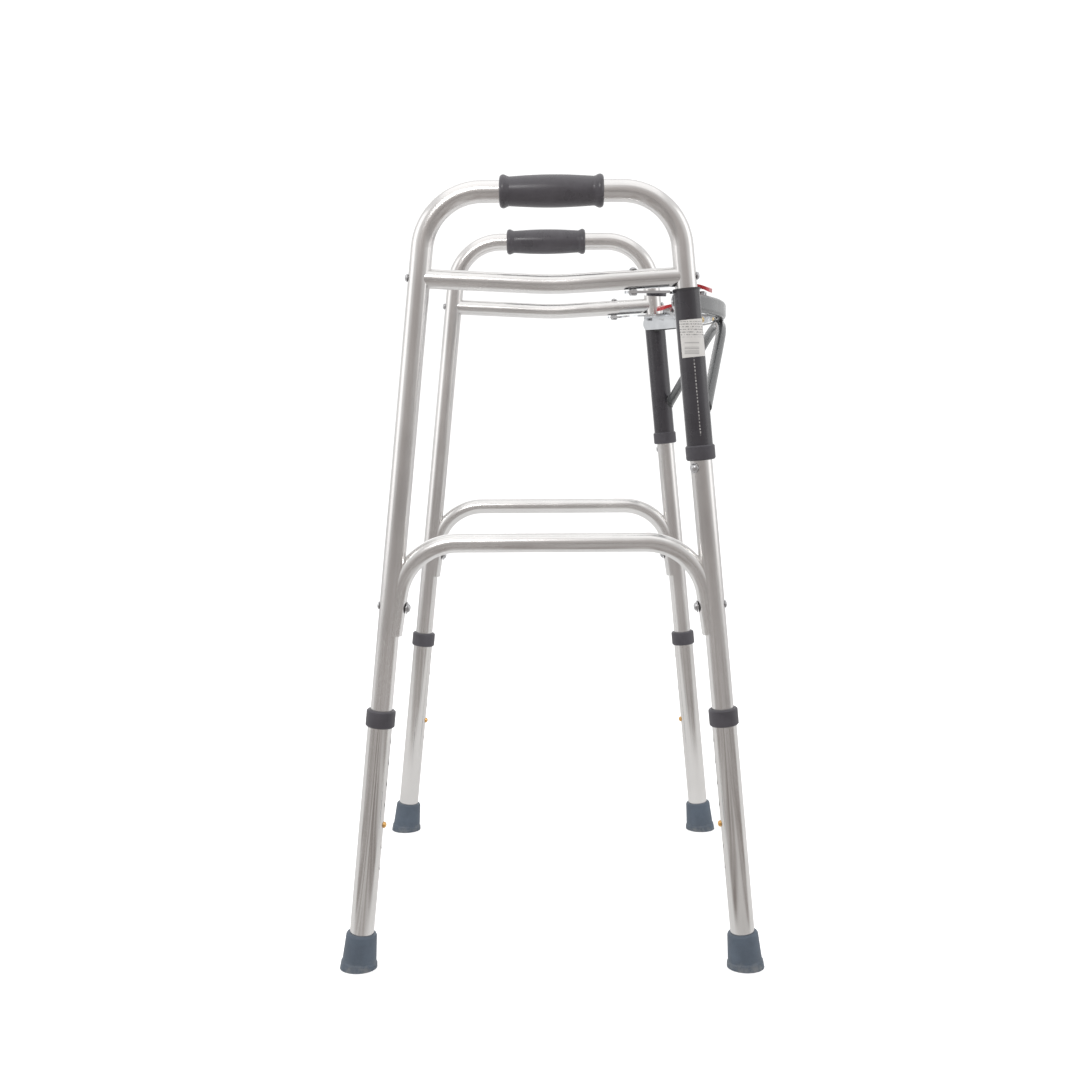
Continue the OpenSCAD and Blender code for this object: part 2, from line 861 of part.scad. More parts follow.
module arch_brace() {
    bore_r = arch_r - 1.2;
    color("#83858a")
        difference() {
            translate([0, bow_apex_y, arch_apex_z])
                rotate([arch_tilt, 0, 0])
                    translate([0, 0, -arch_bend_r]) {
                        rotate([90, 0, 0])
                            rotate([0, 0, 90 - arch_slope])
                                rotate_extrude(angle = 2 * arch_slope, $fn = 180)
                                    translate([arch_bend_r, 0])
                                        difference() {
                                            circle(r = arch_r);
                                            circle(r = bore_r);
                                        }
                        for (side = [RIGHT, LEFT])
                            rotate([0, side * arch_slope, 0])
                                translate([0, 0, arch_bend_r])
                                    rotate([0, side * 90, 0]) {
                                        translate([0, 0, seam_gap])
                                            pipe(arch_r, bore_r, arch_arm_length);
                                        seam(arch_r, bore_r);
                                        translate([0, 0, arch_arm_length - 1])
                                            cylinder(r = bore_r + 0.5, h = 1);
                                    }
                    }
            for (side = [RIGHT, LEFT])
                on_side(side)
                    sleeve_solid(sleeve_r);
            bow(15)
                translate([bow_r, 0])
                    rounded_bar(crossbar_depth, crossbar_h, crossbar_corner_r);
        }
}

// ---- Latches, drawn for the left side and mirrored for the right ----

module latch_side(side) {
    mirror([side == RIGHT ? 1 : 0, 0, 0])
        translate([half_spacing, latch_y, 0])
            mirror([1, 0, 0])
                children();
}

// Local x runs inwards along the latch arm, and local z stays up
module on_arm() {
    translate([arm_start[0], arm_start[1], 0])
        rotate([0, 0, arm_turn])
            children();
}

// The pivot's axis, as local z, pointing to the rear
module on_pivot() {
    on_arm()
        translate([pivot_s, 0, pivot_z])
            rotate([-90, 0, 0])
                children();
}

module latch_plan() {
    difference() {
        union() {
            intersection() {
                circle(r = sector_r);
                polygon(sector_corners);
            }
            translate([plate_edge, sector_r - finger_root])
                square([
                    finger_edge - plate_edge, foot_radius + finger_past_foot - sector_r + finger_root
                ]);
            translate([(plate_edge + finger_edge) / 2, foot_radius + finger_past_foot])
                circle(r = (finger_edge - plate_edge) / 2);
            polygon(arm_strip);
        }
        translate([0, foot_radius])
            circle(r = foot_hole_r);
    }
}

module latch_plate(side) {
    web_start = -4;
    web_end = pivot_s + 8;
    color("#d9dbde")
        latch_side(side)
            difference() {
                union() {
                    translate([0, 0, plate_z])
                        linear_extrude(height = plate_t)
                            latch_plan();
                    on_arm() {
                        translate([web_start, -web_t / 2, plate_z])
                            cube([pivot_s - bracket_length / 2 - 2 - web_start, web_t,
                                web_top_z - plate_z]);
                        translate([web_start, -web_t / 2, plate_z])
                            cube([web_end - 4 - web_start, web_t, pivot_z + ear_r - plate_z]);
                        translate([pivot_s, 0, 0])
                            translate([0, web_t / 2, pivot_z])
                                rotate([90, 0, 0])
                                    cylinder(r = ear_r + 0.6, h = web_t);
                    }
                }
                on_pivot()
                    cylinder(r = pivot_pin_r + 0.05, h = 2 * web_t, center = true);
            }
}

module paddle(side) {
    underside_r = paddle_bow_r - paddle_t;
    color("#be2a2f")
        latch_side(side)
            on_arm()
                intersection() {
                    translate([paddle_s, 0, plate_z])
                        linear_extrude(height = paddle_top_z - plate_z + 1)
                            rounded_bar(paddle_w, paddle_across, paddle_corner_r);
                    translate([paddle_s - paddle_w, 0, paddle_bow_z])
                        rotate([90, 0, 90])
                            linear_extrude(height = 2 * paddle_w)
                                difference() {
                                    circle(r = paddle_bow_r, $fn = 128);
                                    circle(r = underside_r, $fn = 128);
                                }
                }
}

module latch_brackets() {
    front = -web_t / 2 - moving_gap - 2 * ear_t;
    rear = web_t / 2 + spring_room + ear_t;
    bracket_h = pivot_z + ear_r - bracket_floor_z + 3;
    color("#c4c6c9")
        for (side = [RIGHT, LEFT])
            latch_side(side)
                difference() {
                    on_arm()
                        translate([pivot_s - bracket_length / 2, 0, 0])
                            difference() {
                                translate([0, front, bracket_floor_z - 3])
                                    cube([bracket_length, rear - front, bracket_h]);
                                translate([-1, -web_t / 2 - moving_gap, bracket_floor_z])
                                    cube([bracket_length + 2, web_t + moving_gap + spring_room, 20]);
                            }
                    on_pivot()
                        cylinder(r = pivot_pin_r, h = 40, center = true);
                    mirror([1, 0, 0])
                        translate([-half_spacing, -latch_y, 0])
                            bow(strap_end_angle)
                                translate([strap_r - strap_t / 2, -crossbar_h])
                                    square([crossbar_depth + strap_t, 2 * crossbar_h]);
                }
}

module latch_pivot_pins() {
    front = web_t / 2 + moving_gap + ear_t;
    rear = web_t / 2 + spring_room + ear_t;
    color("#3f3f42")
        for (side = [RIGHT, LEFT])
            latch_side(side)
                on_pivot() {
                    translate([0, 0, -front])
                        cylinder(r = pivot_pin_r, h = front + rear + 0.5);
                    translate([0, 0, rear + 0.05])
                        dome(3.2, 1.5);
                }
}

module latch_spring(side) {
    wire_r = 0.5;
    coil_r = pivot_pin_r + 0.35 + wire_r;
    coils = 4;
    leg_offset = 0.25;
    arm_leg = 7.2;
    bracket_leg = 5;
    first = web_t / 2 + 0.4 + wire_r;
    color("#8d8f93")
        latch_side(side)
            on_pivot() {
                translate([0, 0, first])
                    rotate_extrude($fn = 32)
                        for (k = [0:coils - 1])
                            translate([coil_r, k * 1.9 * wire_r])
                                circle(r = wire_r, $fn = 16);
                translate([-arm_leg, coil_r + leg_offset, first])
                    rotate([0, 90, 0])
                        cylinder(r = wire_r, h = arm_leg, $fn = 16);
                translate([0, coil_r + leg_offset, first + (coils - 1) * 1.9 * wire_r])
                    rotate([0, 90, 0])
                        cylinder(r = wire_r, h = bracket_leg, $fn = 16);
            }
}

// ---- Nodes ----

for (s = [["right_", RIGHT], ["left_", LEFT]])
    on_side(s[1]) {
        frame_tube(s[1]);
        hand_grip(s[1] == RIGHT ? right_grip_y : left_grip_y);
        upper_brace();
        lower_brace();
        upper_brace_plugs();
        upper_brace_bolts();
        lower_brace_bolts();
        latch_pin();
        sleeve_stop_bolt(s[1]);
        for (e = [["front_", FRONT], ["rear_", REAR]]) {
            leg_extension(e[1]);
            leg_collar(e[1]);
            rubber_tip(e[1]);
            tip_washer(e[1]);
            snap_button(e[1]);
            button_spring(e[1]);
        }
        sleeve();
        sleeve_collar();
    }
for (s = [["right_", RIGHT], ["left_", LEFT]]) {
    latch_plate(s[1]);
    paddle(s[1]);
    latch_spring(s[1]);
}
sleeve_bushings();
crossbar();
crossbar_strap();
crossbar_rivets();
arch_brace();
latch_brackets();
latch_pivot_pins();
sleeve_label();
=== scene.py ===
"""Looks for the folding walking frame: materials, welds, screws, button springs, light and camera."""

import math

import bmesh
import bpy
from mathutils import Matrix, Vector
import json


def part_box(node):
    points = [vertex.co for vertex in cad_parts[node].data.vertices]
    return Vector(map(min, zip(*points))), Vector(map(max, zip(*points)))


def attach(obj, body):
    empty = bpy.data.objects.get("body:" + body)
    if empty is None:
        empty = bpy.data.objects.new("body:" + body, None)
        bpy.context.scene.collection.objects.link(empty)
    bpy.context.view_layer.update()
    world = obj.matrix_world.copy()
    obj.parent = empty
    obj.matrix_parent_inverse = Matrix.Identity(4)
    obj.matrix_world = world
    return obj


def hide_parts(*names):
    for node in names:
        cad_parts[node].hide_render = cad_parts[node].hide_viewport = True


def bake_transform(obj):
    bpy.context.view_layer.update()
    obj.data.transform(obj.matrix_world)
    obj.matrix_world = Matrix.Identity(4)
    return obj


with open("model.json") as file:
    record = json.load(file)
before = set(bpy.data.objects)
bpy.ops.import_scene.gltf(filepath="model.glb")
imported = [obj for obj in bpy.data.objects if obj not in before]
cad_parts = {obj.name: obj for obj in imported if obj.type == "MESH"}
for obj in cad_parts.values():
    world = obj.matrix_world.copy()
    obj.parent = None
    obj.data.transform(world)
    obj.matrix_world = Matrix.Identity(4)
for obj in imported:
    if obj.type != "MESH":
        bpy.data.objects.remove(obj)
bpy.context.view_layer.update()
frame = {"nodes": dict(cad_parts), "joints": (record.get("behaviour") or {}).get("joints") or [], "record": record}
record = frame["record"]
NODES = frame["nodes"]
MM = 0.001
SIDES = (("right", -1), ("left", 1))
ENDS = ("front", "rear")
JOINTS = {j["name"]: j for j in frame["joints"]}
FEET = {m["name"]: Vector(m["pos_m"]) for m in record["mounts"]}


# ---- Camera, floor and light ----

def make_camera():
    data = bpy.data.cameras.new("camera")
    data.lens = 48.1
    data.sensor_width = 36.0
    data.clip_start = 0.05
    data.clip_end = 100.0
    camera = bpy.data.objects.new("camera", data)
    bpy.context.scene.collection.objects.link(camera)
    pitch, yaw, roll = (math.radians(a) for a in (-5.82, 0.703, -0.384))
    forward = Vector((math.cos(pitch) * math.cos(yaw), math.cos(pitch) * math.sin(yaw), math.sin(pitch)))
    about_view = Matrix.Rotation(roll, 4, "Z").to_quaternion()
    camera.rotation_mode = "QUATERNION"
    camera.rotation_quaternion = forward.to_track_quat("-Z", "Y") @ about_view
    camera.location = (-1.9196, -0.0096, 0.6751)
    bpy.context.scene.camera = camera


def new_object(name, bm, smooth=True):
    bmesh.ops.recalc_face_normals(bm, faces=bm.faces)
    mesh = bpy.data.meshes.new(name)
    bm.to_mesh(mesh)
    bm.free()
    if smooth:
        mesh.shade_smooth()
    piece = bpy.data.objects.new(name, mesh)
    bpy.context.scene.collection.objects.link(piece)
    return piece


def make_floor():
    bm = bmesh.new()
    bmesh.ops.create_circle(bm, cap_ends=True, segments=96, radius=14.0)
    floor = new_object("floor", bm, smooth=False)
    floor.location.z = -0.0006
    return floor


def area_light(name, place, aim, size, watts, colour=(1, 1, 1)):
    data = bpy.data.lights.new(name, "AREA")
    data.shape = "RECTANGLE"
    data.size, data.size_y = size
    data.energy = watts
    data.color = colour
    light = bpy.data.objects.new(name, data)
    bpy.context.scene.collection.objects.link(light)
    light.location = place
    light.rotation_mode = "QUATERNION"
    light.rotation_quaternion = (Vector(aim) - Vector(place)).to_track_quat("-Z", "Y")
    light.visible_camera = False


def make_world():
    """A white studio. Reflections also see a darker room on the side that the camera stands on."""
    world = bpy.data.worlds.new("studio")
    bpy.context.scene.world = world
    world.use_nodes = True
    nt = world.node_tree
    nt.nodes.clear()
    out = nt.nodes.new("ShaderNodeOutputWorld")
    white = nt.nodes.new("ShaderNodeBackground")
    white.inputs["Color"].default_value = (1, 1, 1, 1)
    white.inputs["Strength"].default_value = 1.12
    room = nt.nodes.new("ShaderNodeBackground")
    room.inputs["Strength"].default_value = 0.86
    coords = nt.nodes.new("ShaderNodeTexCoord")
    towards = nt.nodes.new("ShaderNodeVectorMath")
    towards.operation = "DOT_PRODUCT"
    towards.inputs[1].default_value = (-1.0, 0.0, 0.0)
    nt.links.new(coords.outputs["Generated"], towards.inputs[0])
    ramp = nt.nodes.new("ShaderNodeValToRGB")
    stops = ramp.color_ramp
    stops.interpolation = "EASE"
    stops.elements[0].position = 0.0
    stops.elements[0].color = (1.0, 1.0, 1.0, 1)
    stops.elements[1].position = 0.97
    stops.elements[1].color = (0.52, 0.49, 0.475, 1)
    middle = stops.elements.new(0.60)
    middle.color = (0.87, 0.86, 0.855, 1)
    nt.links.new(towards.outputs["Value"], ramp.inputs["Fac"])
    nt.links.new(ramp.outputs["Color"], room.inputs["Color"])
    path = nt.nodes.new("ShaderNodeLightPath")
    mix = nt.nodes.new("ShaderNodeMixShader")
    nt.links.new(path.outputs["Is Camera Ray"], mix.inputs["Fac"])
    nt.links.new(room.outputs["Background"], mix.inputs[1])
    nt.links.new(white.outputs["Background"], mix.inputs[2])
    nt.links.new(mix.outputs["Shader"], out.inputs["Surface"])


# ---- Procedural materials ----

class Shader:
    """A material under construction: a principled shader and short names for the nodes that feed it."""

    def __init__(self, name, colour, metallic, roughness, **constants):
        self.material = bpy.data.materials.new(name)
        self.material.use_nodes = True
        self.tree = self.material.node_tree
        self.bsdf = self.tree.nodes["Principled BSDF"]
        self.set(self.bsdf, "Base Color", (*colour, 1))
        self.set(self.bsdf, "Metallic", metallic)
        self.set(self.bsdf, "Roughness", roughness)
        for key, value in constants.items():
            self.set(self.bsdf, key.replace("_", " "), value)
        self.coords = self.node("ShaderNodeTexCoord").outputs["Object"]
        self.height = None

    def node(self, kind, **props):
        made = self.tree.nodes.new(kind)
        for key, value in props.items():
            setattr(made, key, value)
        return made

    def set(self, node, socket, value):
        if isinstance(value, bpy.types.NodeSocket):
            self.tree.links.new(value, node.inputs[socket])
        else:
            node.inputs[socket].default_value = value

    def mapped(self, scale):
        made = self.node("ShaderNodeMapping")
        self.set(made, "Vector", self.coords)
        self.set(made, "Scale", scale)
        return made.outputs["Vector"]

    def noise(self, scale, detail=3.0, rough=0.5, stretch=(1, 1, 1)):
        made = self.node("ShaderNodeTexNoise")
        self.set(made, "Vector", self.mapped(stretch))
        self.set(made, "Scale", scale)
        self.set(made, "Detail", detail)
        self.set(made, "Roughness", rough)
        return made.outputs["Fac"]

    def cells(self, scale):
        made = self.node("ShaderNodeTexVoronoi", feature="F1")
        self.set(made, "Vector", self.mapped((1, 1, 1)))
        self.set(made, "Scale", scale)
        return made.outputs["Distance"]

    def ramp(self, value, low, high, out_low=0.0, out_high=1.0, smooth=True):
        made = self.node("ShaderNodeMapRange", interpolation_type="SMOOTHSTEP" if smooth else "LINEAR")
        for socket, v in (("Value", value), ("From Min", low), ("From Max", high),
                          ("To Min", out_low), ("To Max", out_high)):
            self.set(made, socket, v)
        return made.outputs["Result"]

    def math(self, operation, a, b=0.0):
        made = self.node("ShaderNodeMath", operation=operation)
        self.set(made, 0, a)
        self.set(made, 1, b)
        return made.outputs[0]

    def mix(self, share, a, b):
        made = self.node("ShaderNodeMix", data_type="RGBA")
        self.set(made, 0, share)
        for socket, value in ((6, a), (7, b)):
            self.set(made, socket, value if isinstance(value, bpy.types.NodeSocket) else (*value, 1))
        return made.outputs[2]

    def blend(self, share, a, b):
        """Mixes two numbers."""
        made = self.node("ShaderNodeMix")
        self.set(made, 0, share)
        self.set(made, 2, a)
        self.set(made, 3, b)
        return made.outputs[0]

    def axis(self, name):
        made = self.node("ShaderNodeSeparateXYZ")
        self.set(made, 0, self.coords)
        return made.outputs[name]

    def colour(self, value):
        self.set(self.bsdf, "Base Color", value)

    def roughness(self, value):
        self.set(self.bsdf, "Roughness", value)

    def bump(self, height, strength, distance):
        made = self.node("ShaderNodeBump")
        self.set(made, "Strength", strength)
        self.set(made, "Distance", distance)
        self.set(made, "Height", height)
        if self.height is not None:
            self.set(made, "Normal", self.height)
        self.height = made.outputs["Normal"]
        self.set(self.bsdf, "Normal", self.height)


LONG = 0.012  # how little the drawn grain changes along a tube, against across it


def drawn(s, scale, run, bend=None):
    """Grain drawn out along the tube: run is the axis that it follows, and bend the heights
    between which it turns from the legs' direction to the fore-aft one."""
    along_z = s.noise(scale, 4.0, 0.6, (1, 1, LONG))
    along_y = s.noise(scale, 4.0, 0.6, (1, LONG, 1))
    if run == "Z":
        return along_z
    if run == "Y":
        return along_y
    return s.blend(s.ramp(s.axis("Z"), *bend), along_z, along_y)


def aluminium(name, base, run, bend=None, rough=0.30, scuffed=False):
    s = Shader(name, base, 1.0, rough, Anisotropic=0.0)
    fine = drawn(s, 2600, run, bend)
    broad = s.noise(9, 3.0, 0.55)
    streak = drawn(s, 420, run, bend)
    tint = s.mix(s.ramp(broad, 0.3, 0.72), tuple(c * 0.93 for c in base),
                 tuple(min(1, c * 1.05) for c in base))
    tint = s.mix(s.ramp(streak, 0.35, 0.7, 0.0, 0.14), tint, tuple(c * 0.86 for c in base))
    finish = s.ramp(fine, 0.25, 0.75, rough - 0.02, rough + 0.03)
    finish = s.math("ADD", finish, s.ramp(broad, 0.3, 0.75, -0.02, 0.035))
    if scuffed:
        rubs = s.ramp(drawn(s, 900, run, bend), 0.63, 0.72)
        rubs = s.math("MULTIPLY", rubs, s.ramp(s.noise(26, 4.0, 0.6), 0.52, 0.66))
        tint = s.mix(s.math("MULTIPLY", rubs, 0.55), tint, (0.95, 0.94, 0.93))
        finish = s.math("ADD", finish, s.math("MULTIPLY", rubs, 0.14))
    s.colour(tint)
    s.roughness(finish)
    s.bump(fine, 0.05, 0.00004)
    s.bump(s.noise(1500, 2.0), 0.05, 0.00005)
    return s.material


def moulded(name, base, rough, grain=1400, depth=0.00012, coat=0.0, dust=None, mottled=0.14):
    s = Shader(name, base, 0.0, rough, IOR=1.47, Coat_Weight=coat, Coat_Roughness=0.2)
    leather = s.cells(grain)
    broad = s.noise(34, 4.0, 0.6)
    tint = s.mix(s.ramp(broad, 0.3, 0.7), tuple(c * (1 - mottled) for c in base),
                 tuple(c * (1 + mottled) for c in base))
    # painted shade: each pit of the leather grain is darker towards its deepest point, where the bump is lowest
    tint = s.mix(s.ramp(leather, 0.0, 0.55, 0.22, 0.0), tint, tuple(c * 0.55 for c in base))
    finish = s.ramp(broad, 0.3, 0.7, rough - 0.06, rough + 0.08)
    if dust:
        pale = s.math("MULTIPLY", s.ramp(s.axis("Z"), dust, 0.0), s.ramp(s.noise(90, 5.0, 0.7), 0.42, 0.68))
        tint = s.mix(s.math("MULTIPLY", pale, 0.45), tint, (0.34, 0.33, 0.31))
        finish = s.math("ADD", finish, s.math("MULTIPLY", pale, 0.12))
    s.colour(tint)
    s.roughness(finish)
    s.bump(leather, 0.35, depth)
    s.bump(s.noise(220, 3.0, 0.5), 0.08, 0.00012)
    return s.material


def paint(name, base, rough, flecks=0.12):
    s = Shader(name, base, 0.0, rough, IOR=1.5, Coat_Weight=0.25, Coat_Roughness=0.22)
    peel = s.noise(520, 2.0, 0.4)
    broad = s.noise(22, 4.0, 0.6)
    tint = s.mix(s.ramp(broad, 0.3, 0.7), tuple(c * 0.88 for c in base), tuple(c * 1.12 for c in base))
    spark = s.ramp(s.noise(5200, 1.0), 0.66, 0.74)
    tint = s.mix(s.math("MULTIPLY", spark, flecks), tint, tuple(min(1, c * 2.6) for c in base))
    s.colour(tint)
    s.roughness(s.ramp(broad, 0.3, 0.7, rough - 0.05, rough + 0.06))
    s.bump(peel, 0.10, 0.00008)
    return s


def plated(name, base, rough, spangle=0.0, grain="Z"):
    s = Shader(name, base, 1.0, rough)
    cloud = s.noise(60, 4.0, 0.6)
    tint = s.mix(s.ramp(cloud, 0.3, 0.7), tuple(c * 0.92 for c in base),
                 tuple(min(1, c * 1.05) for c in base))
    if spangle:
        patch = s.cells(900)
        tint = s.mix(s.ramp(patch, 0.1, 0.7, 0.0, spangle), tint, tuple(c * 0.6 for c in base))
    lines = drawn(s, 1900, grain)
    s.colour(tint)
    s.roughness(s.math("ADD", s.ramp(cloud, 0.3, 0.7, rough * 0.8, rough * 1.3),
                       s.ramp(lines, 0.6, 0.8, 0.0, 0.06)))
    s.bump(lines, 0.04, 0.00004)
    s.bump(s.noise(160, 3.0), 0.06, 0.0001)
    return s.material


def sleeve_paint(name, side):
    """Satin dark paint with the faint dotted line that runs down the sleeve's outer face."""
    s = paint(name, (0.045, 0.042, 0.05), 0.27)
    lo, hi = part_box(f"{side}_sleeve")
    base = s.bsdf.inputs["Base Color"].links[0].from_socket
    lean = JOINTS[f"{side}_fold"]["axis"]
    foot = FEET[f"{side}_front_foot"]
    slope = lean[1] / lean[2]
    off_axis = s.math("SUBTRACT", s.axis("Y"), s.math("MULTIPLY", s.axis("Z"), slope))
    off_axis = s.math("ABSOLUTE", s.math("SUBTRACT", off_axis, foot.y - 0.0005))
    line = s.ramp(off_axis, 0.0008, 0.0005)
    dots = s.ramp(s.math("FRACT", s.math("MULTIPLY", s.axis("Z"), 260)), 0.36, 0.44)
    dots = s.math("MULTIPLY", dots, s.ramp(s.noise(520, 1.0), 0.35, 0.6, 0.35, 1.0))
    reach = s.math("MULTIPLY", s.ramp(s.axis("Z"), lo.z + 0.012, lo.z + 0.014),
                   s.ramp(s.axis("Z"), lo.z + 0.101, lo.z + 0.099))
    outer = s.ramp(s.math("MULTIPLY", s.math("SUBTRACT", s.axis("X"), foot.x), 1 if foot.x > 0 else -1),
                   0.004, 0.006)
    mask = s.math("MULTIPLY", s.math("MULTIPLY", line, dots), s.math("MULTIPLY", reach, outer))
    s.colour(s.mix(s.math("MULTIPLY", mask, 0.9), base, (0.62, 0.61, 0.60)))
    return s.material


def label_film(name):
    """White film printed with plain grey bars."""
    s = Shader(name, (0.8, 0.79, 0.77), 0.0, 0.42, IOR=1.45)
    lo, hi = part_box("sleeve_label")
    up = s.ramp(s.axis("Z"), lo.z, hi.z, smooth=False)
    across = s.ramp(s.axis("Y"), lo.y, hi.y, smooth=False)
    rows = s.ramp(s.math("FRACT", s.math("MULTIPLY", up, 15)), 0.55, 0.62)
    broken = s.ramp(s.noise(1.0, 1.0, 0.5, (0.0, 900, 300)), 0.47, 0.5)
    block = s.math("MULTIPLY", s.ramp(up, 0.52, 0.53), s.ramp(up, 0.93, 0.92))
    bars = s.ramp(s.noise(1.0, 0.0, 0.5, (0.0, 0.0, 1500)), 0.5, 0.53)
    stripe = s.math("MULTIPLY", s.ramp(up, 0.10, 0.105), s.ramp(up, 0.45, 0.445))
    within = s.math("MULTIPLY", s.ramp(across, 0.25, 0.26), s.ramp(across, 0.8, 0.79))
    stripe = s.math("MULTIPLY", stripe, within)
    ink = s.math("MAXIMUM", s.math("MULTIPLY", s.math("MULTIPLY", rows, broken), block),
                 s.math("MULTIPLY", bars, stripe))
    film = s.mix(s.noise(60, 3.0), (0.78, 0.77, 0.75), (0.84, 0.83, 0.81))
    s.colour(s.mix(s.math("MULTIPLY", ink, 0.7), film, (0.16, 0.16, 0.17)))
    s.roughness(s.ramp(s.noise(300, 3.0), 0.3, 0.7, 0.36, 0.5))
    s.bump(s.noise(70, 3.0), 0.15, 0.0001)
    return s.material


def floor_material():
    """White paper, over-lit as seen directly, so that it runs into the background. Reflections
    see a painted dark patch past the paper's edge instead, on the side that the camera stands on: painted shade
    standing for the dark room there, not a part of the paper."""
    s = Shader("floor_paper", (0.80, 0.80, 0.80), 0.0, 0.8, Emission_Color=(1, 1, 1, 1))
    paper = s.mix(s.noise(3, 4.0), (0.79, 0.79, 0.79), (0.81, 0.81, 0.81))
    seen = s.node("ShaderNodeLightPath").outputs["Is Camera Ray"]
    # painted shade for reflections only: past the edge, non-camera rays see a dark brown patch broken into bands,
    # which puts dark reflections in the metal
    painted_dark_reflection = s.ramp(s.axis("X"), -0.285, -0.40)
    bands = s.ramp(s.noise(7.0, 1.5, 0.5, (0.12, 1.0, 0.0)), 0.36, 0.62, 0.35, 1.0)
    painted_dark_reflection = s.math("MULTIPLY", s.math("MULTIPLY", painted_dark_reflection, bands), s.math("SUBTRACT", 1.0, seen))
    s.colour(s.mix(painted_dark_reflection, paper, (0.20, 0.172, 0.158)))
    s.set(s.bsdf, "Emission Strength", s.math("MULTIPLY", seen, 0.55))
    return s.material


def dress(material, *names):
    for name in names:
        data = NODES[name].data
        data.materials.clear()
        data.materials.append(material)


def both(*names):
    return [f"{side}_{name}" for side, _ in SIDES for name in names]


def legs(*names):
    return both(*(f"{end}_{name}" for end in ENDS for name in names))


def dress_nodes():
    tube = (0.77, 0.755, 0.745)
    brace = (0.79, 0.78, 0.77)
    leg = (0.74, 0.725, 0.71)
    dress(aluminium("frame_aluminium", tube, "bent", (0.835, 0.885), 0.22), *both("frame_tube"))
    dress(aluminium("lower_brace_aluminium", brace, "bent", (0.445, 0.492), 0.24), *both("lower_brace"))
    dress(aluminium("upper_brace_aluminium", brace, "Y", rough=0.24), *both("upper_brace"))
    dress(aluminium("extension_aluminium", leg, "Z", rough=0.17, scuffed=True), *legs("extension"))
    dress(moulded("grip_vinyl", (0.086, 0.081, 0.092), 0.30, 1150, 0.00008, coat=0.15), *both("hand_grip"))
    dress(moulded("collar_plastic", (0.082, 0.078, 0.09), 0.46), *legs("collar"), *both("sleeve_collar"))
    dress(moulded("bushing_plastic", (0.045, 0.043, 0.048), 0.4), "sleeve_bushings", *both("upper_brace_plugs"))
    dress(moulded("tip_rubber", (0.095, 0.122, 0.158), 0.52, 900, 0.0002, dust=0.014), *legs("tip"))
    dress(paint("crossbar_paint", (0.094, 0.098, 0.101), 0.27).material, "crossbar", "arch_brace")
    for side, _ in SIDES:
        dress(sleeve_paint(f"{side}_sleeve_paint", side), f"{side}_sleeve")
    dress(plated("chrome", (0.70, 0.715, 0.735), 0.05, grain="Y"),
          "crossbar_strap", "latch_brackets", *both("latch_plate"))
    dress(plated("zinc", (0.62, 0.62, 0.63), 0.34, 0.35), *legs("tip_washer"),
          *both("upper_brace_bolts", "lower_brace_bolts", "latch_pin", "sleeve_stop_bolt"))
    dress(plated("black_oxide", (0.085, 0.085, 0.09), 0.38, 0.2), "latch_pivot_pins")
    dress(plated("yellow_zinc", (0.78, 0.60, 0.33), 0.28, 0.3), "crossbar_rivets")
    dress(plated("brass", (0.78, 0.46, 0.17), 0.24, 0.15), *legs("snap_button"))
    dress(plated("spring_steel", (0.42, 0.42, 0.43), 0.3, grain="Y"),
          *legs("button_spring"), *both("latch_spring"))
    dress(paint("paddle_plastic", (0.52, 0.022, 0.03), 0.27, flecks=0.0).material, *both("paddle"))
    dress(label_film("label_film"), "sleeve_label")


# ---- Welds, where the painted tubes meet ----

SLEEVE_R = 15.0 * MM
CROSSBAR_HALF = Vector((6.0 * MM, 10.5 * MM))
CROSSBAR_CORNER = 5.0 * MM
BOW_R = 576.0 * MM
BOW_CENTRE_Y = 353.5 * MM
ON_SURFACE = 0.06 * MM
BEAD_R = 1.45 * MM
BEAD_STEP = 0.8 * MM
BEAD_SIDES = 10
SECTORS = 48
FEWEST_POINTS = 8


def points_of(node):
    return [v.co.copy() for v in NODES[node].data.vertices]


def off_sleeve(side):
    """The distance from a hinge sleeve's surface, as a function of a point."""
    foot = FEET[f"{side}_front_foot"]
    up = Vector(JOINTS["left_fold"]["axis"])

    def distance(p):
        return (p - foot).cross(up).length - SLEEVE_R
    return distance


def off_crossbar(p, middle_z):
    """The distance from the crossbar's surface."""
    across = math.hypot(p.x, p.y - BOW_CENTRE_Y) - BOW_R
    q = Vector((abs(across) - CROSSBAR_HALF.x + CROSSBAR_CORNER,
                abs(p.z - middle_z) - CROSSBAR_HALF.y + CROSSBAR_CORNER))
    return Vector((max(q.x, 0), max(q.y, 0))).length + min(max(q.x, q.y), 0) - CROSSBAR_CORNER


def outline(points, normal):
    """The outermost of the points in each direction round their middle, in order."""
    middle = sum(points, Vector()) / len(points)
    side = normal.orthogonal().normalized()
    other = normal.cross(side).normalized()
    best = {}
    for p in points:
        x, y = (p - middle).dot(side), (p - middle).dot(other)
        sector = int((math.atan2(y, x) / math.tau + 0.5) * SECTORS) % SECTORS
        if sector not in best or math.hypot(x, y) > best[sector][0]:
            best[sector] = (math.hypot(x, y), p)
    return [best[k][1] for k in sorted(best)]


def resampled(loop, step):
    """Evenly spaced points round a closed loop."""
    lengths = [(loop[(i + 1) % len(loop)] - p).length for i, p in enumerate(loop)]
    count = max(12, int(sum(lengths) / step))
    out, i, passed = [], 0, 0.0
    for k in range(count):
        want = sum(lengths) * k / count
        while passed + lengths[i] < want:
            passed += lengths[i]
            i += 1
        share = (want - passed) / max(lengths[i], 1e-9)
        out.append(loop[i].lerp(loop[(i + 1) % len(loop)], share))
    return out


